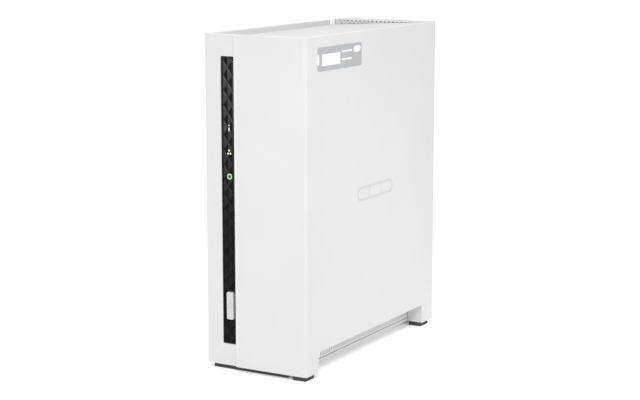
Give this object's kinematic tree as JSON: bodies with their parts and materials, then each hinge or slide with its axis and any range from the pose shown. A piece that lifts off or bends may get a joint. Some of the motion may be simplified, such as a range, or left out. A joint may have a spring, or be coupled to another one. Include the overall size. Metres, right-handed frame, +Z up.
{
  "type": "network attached storage",
  "caption": "Upright white network storage case with a dark facetted front window, a slide-off side cover and a drive caddy inside.",
  "frame": {"origin": "centre of the footprint, on the surface the unit stands on", "axes": "+X to the right seen from the front, +Y from the front to the rear, +Z up"},
  "size_m": [0.0654, 0.1564, 0.1886],
  "materials": {
    "white_shell": "fine satin moulded plastic",
    "white_button": "smooth satin plastic",
    "black_window": "smoked gloss plastic with facets",
    "black_plastic": "matt moulded plastic",
    "clear_plastic": "clear moulded light guide",
    "label_grey": "printed film label",
    "emblem_grey": "light grey print",
    "rubber_foot": "matt rubber",
    "bright_steel": "bright plated steel",
    "sheet_steel": "galvanised sheet",
    "aluminium": "cast and extruded aluminium",
    "circuit_board": "solder-masked laminate",
    "chip_black": "moulded chip package",
    "cable_grey": "flat cable insulation"
  },
  "bodies": {
    "chassis": {"left_shell": "white_shell", "base_plate": "white_shell", "base_vent_rail": "white_shell", "rear_panel": "white_shell", "rear_top_grille": "white_shell", "front_window": "black_window", "power_switch": "black_plastic", "status_light_guide": "clear_plastic", "network_light_guide": "clear_plastic", "drive_light_guide": "clear_plastic", "front_board": "circuit_board", "mainboard": "circuit_board", "processor": "chip_black", "heatsink": "aluminium", "memory_chip_1": "chip_black", "memory_chip_2": "chip_black", "battery_holder": "black_plastic", "coin_battery": "bright_steel", "ethernet_jack": "bright_steel", "usb_port_upper": "bright_steel", "usb_port_lower": "bright_steel", "power_jack": "black_plastic", "reset_switch": "black_plastic", "lock_slot_plate": "sheet_steel", "ribbon_cable": "cable_grey", "fan_cable": "black_plastic", "backplane_connector": "black_plastic", "drive_backplane": "circuit_board", "sata_socket": "black_plastic", "drive_bracket": "sheet_steel", "fan_frame": "black_plastic", "front_foot": "rubber_foot", "rear_foot": "rubber_foot", "cover_screw_1": "bright_steel", "cover_screw_2": "bright_steel", "fan_screw_1": "bright_steel", "fan_screw_2": "bright_steel", "fan_screw_3": "bright_steel", "fan_screw_4": "bright_steel", "board_screw_1": "bright_steel", "board_screw_2": "bright_steel", "board_screw_3": "bright_steel", "board_screw_4": "bright_steel"},
    "side_cover": {"side_cover": "white_shell", "cover_front_foot": "rubber_foot", "cover_rear_foot": "rubber_foot", "model_label": "label_grey", "side_emblem": "emblem_grey"},
    "power_button": {"power_button": "white_button"},
    "power_switch_plunger": {"power_switch_plunger": "black_plastic"},
    "reset_button": {"reset_button": "white_button"},
    "fan_rotor": {"fan_rotor": "black_plastic"},
    "drive_caddy": {"drive_tray": "sheet_steel", "drive_body": "aluminium", "drive_cover": "bright_steel", "drive_board": "circuit_board", "drive_screw_front_1": "bright_steel", "drive_screw_front_2": "bright_steel", "drive_screw_rear_1": "bright_steel", "drive_screw_rear_2": "bright_steel"}
  },
  "joints": [
    {"name": "cover_slide", "type": "slide", "parent": "chassis", "child": "side_cover", "axis": [0, -1, 0], "range_m": [0, 0.16]},
    {"name": "power_button_press", "type": "slide", "parent": "chassis", "child": "power_button", "axis": [0, 1, 0], "range_m": [0, 0.0008], "stiffness_N_per_m": 1500},
    {"name": "power_plunger_press", "type": "slide", "parent": "chassis", "child": "power_switch_plunger", "axis": [0, 1, 0], "range_m": [0, 0.0008]},
    {"name": "reset_button_press", "type": "slide", "parent": "chassis", "child": "reset_button", "axis": [0, -1, 0], "range_m": [0, 0.0005], "stiffness_N_per_m": 800},
    {"name": "fan_spin", "type": "hinge", "parent": "chassis", "child": "fan_rotor", "pos_m": [-0.00225, 0.06615, 0.15], "axis": [0, 1, 0], "continuous": true},
    {"name": "drive_caddy_slide", "type": "slide", "parent": "chassis", "child": "drive_caddy", "axis": [0, 0, 1], "range_m": [0, 0.008]}
  ],
  "couplings": [
    {"joint": "power_plunger_press", "follows": "power_button_press", "ratio": 1}
  ]
}
